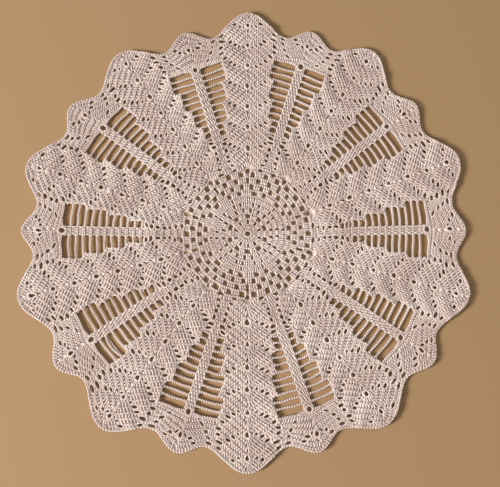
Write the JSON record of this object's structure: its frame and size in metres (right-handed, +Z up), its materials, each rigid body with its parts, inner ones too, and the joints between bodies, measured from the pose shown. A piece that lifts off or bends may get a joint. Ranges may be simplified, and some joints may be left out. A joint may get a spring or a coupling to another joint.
{
  "type": "lace doily",
  "caption": "Round flat crocheted lace doily with close petals, chain ladders, a netted ring and a scalloped rim.",
  "frame": {"origin": "middle of the footprint, on the table under the doily", "axes": "+Z up out of the table, +Y along one petal from the first ring to its scallop, +X along one ladder"},
  "size_m": [0.3598, 0.3772, 0.0037],
  "materials": {
    "crochet_cotton": "matt unbleached cotton thread"
  },
  "bodies": {
    "root": {"lace_doily": "crochet_cotton"}
  },
  "joints": []
}
